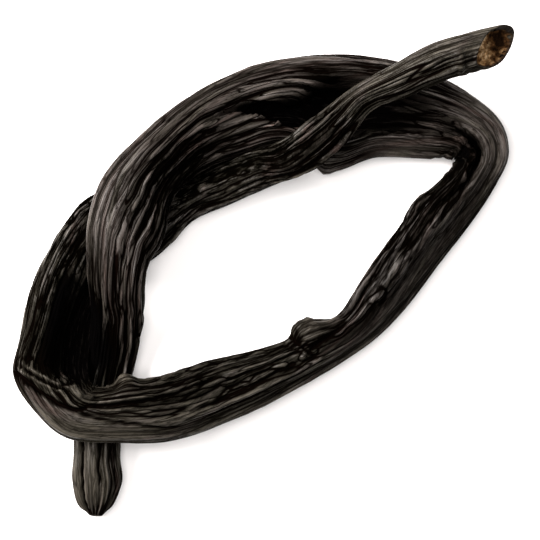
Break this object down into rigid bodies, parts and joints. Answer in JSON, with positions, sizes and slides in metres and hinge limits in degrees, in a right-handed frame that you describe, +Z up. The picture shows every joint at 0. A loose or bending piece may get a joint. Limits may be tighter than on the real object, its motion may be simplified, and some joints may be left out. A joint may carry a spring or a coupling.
{
  "type": "knotted vanilla pod",
  "caption": "Single dried vanilla pod, dark and wrinkled, tied in a loose overhand knot; dry spice that lies flat on a table.",
  "frame": {"origin": "on the table, under the middle of the knotted pod's box", "axes": "+Z up from the table; +X towards the side that the cut stem end points to; +Y away from the blossom tip"},
  "size_m": [0.0499, 0.049, 0.0096],
  "materials": {
    "pod_skin": "dark, oily, deeply wrinkled dried skin with a soft sheen on its ridges"
  },
  "bodies": {
    "root": {"pod": "pod_skin"}
  },
  "joints": []
}
